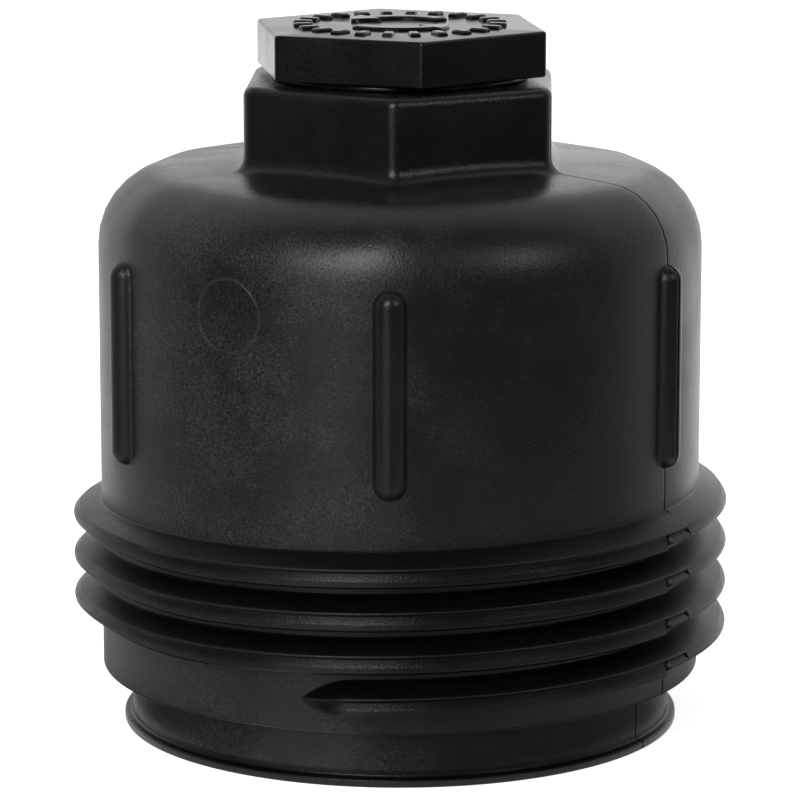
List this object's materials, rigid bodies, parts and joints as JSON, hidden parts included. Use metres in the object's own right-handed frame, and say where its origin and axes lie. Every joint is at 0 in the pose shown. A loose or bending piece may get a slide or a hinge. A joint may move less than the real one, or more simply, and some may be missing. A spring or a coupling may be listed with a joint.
{
  "type": "oil filter bowl",
  "caption": "Screw-on plastic oil filter bowl with external thread, wrench boss, hexagonal drain plug and pull-out pleated cartridge.",
  "frame": {"origin": "centre of the bowl's mouth face, which it stands on", "axes": "+Z along the bowl's axis from the mouth to the drain plug, -Y through the rib and boss corner beside the thread's start"},
  "size_m": [0.0788, 0.0788, 0.0845],
  "materials": {
    "bowl_plastic": "black glass-filled nylon, fine grain",
    "plug_plastic": "black glass-filled nylon, slightly worn",
    "black_rubber": "moulded nitrile, satin",
    "spring_steel": "oiled spring wire",
    "plated_steel": "zinc plated sheet",
    "cap_plastic": "dark grey glass-filled nylon",
    "filter_paper": "resin-cured cellulose",
    "adhesive": "cured plastisol",
    "tube_plastic": "natural nylon",
    "poppet_plastic": "natural acetal",
    "seal_rubber": "red-brown silicone, satin"
  },
  "bodies": {
    "bowl": {"bowl": "bowl_plastic", "retaining_ring": "spring_steel"},
    "plug_gasket": {"plug_gasket": "black_rubber"},
    "drain_plug": {"drain_plug": "plug_plastic"},
    "spring_plate": {"spring_plate": "plated_steel", "pressure_spring": "spring_steel"},
    "grip_ring": {"grip_ring": "black_rubber"},
    "cartridge": {"top_end_cap": "cap_plastic", "bottom_end_cap": "cap_plastic", "top_bond": "adhesive", "bottom_bond": "adhesive", "pleated_media": "filter_paper", "seam_clip": "plated_steel", "pleat_band": "adhesive", "centre_tube": "tube_plastic", "outlet_seal": "black_rubber", "check_ring": "seal_rubber", "bypass_cage": "poppet_plastic"},
    "bypass_poppet": {"bypass_poppet": "poppet_plastic", "poppet_seal": "black_rubber", "bypass_spring": "spring_steel"}
  },
  "joints": [
    {"name": "plug_lift", "type": "slide", "parent": "bowl", "child": "plug_gasket", "axis": [0, 0, 1], "range_m": [0, 0.012]},
    {"name": "plug_turn", "type": "hinge", "parent": "plug_gasket", "child": "drain_plug", "pos_m": [0, 0, 0.0806], "axis": [0, 0, 1], "range_deg": [0, 2160]},
    {"name": "plate_press", "type": "slide", "parent": "bowl", "child": "spring_plate", "axis": [0, 0, 1], "range_m": [0, 0.003], "stiffness_N_per_m": 570, "springref_m": -0.012, "deforming": ["pressure_spring"]},
    {"name": "cartridge_pull", "type": "slide", "parent": "spring_plate", "child": "grip_ring", "axis": [0, 0, -1], "range_m": [0, 0.06]},
    {"name": "cartridge_turn", "type": "hinge", "parent": "grip_ring", "child": "cartridge", "pos_m": [0, 0, 0.0546], "axis": [0, 0, 1], "continuous": true},
    {"name": "bypass_open", "type": "slide", "parent": "cartridge", "child": "bypass_poppet", "axis": [0, 0, -1], "range_m": [0, 0.0025], "stiffness_N_per_m": 1850, "springref_m": -0.0065, "deforming": ["bypass_spring"]}
  ],
  "couplings": [
    {"joint": "plug_turn", "follows": "plug_lift", "rad_per_m": 3141.6}
  ]
}
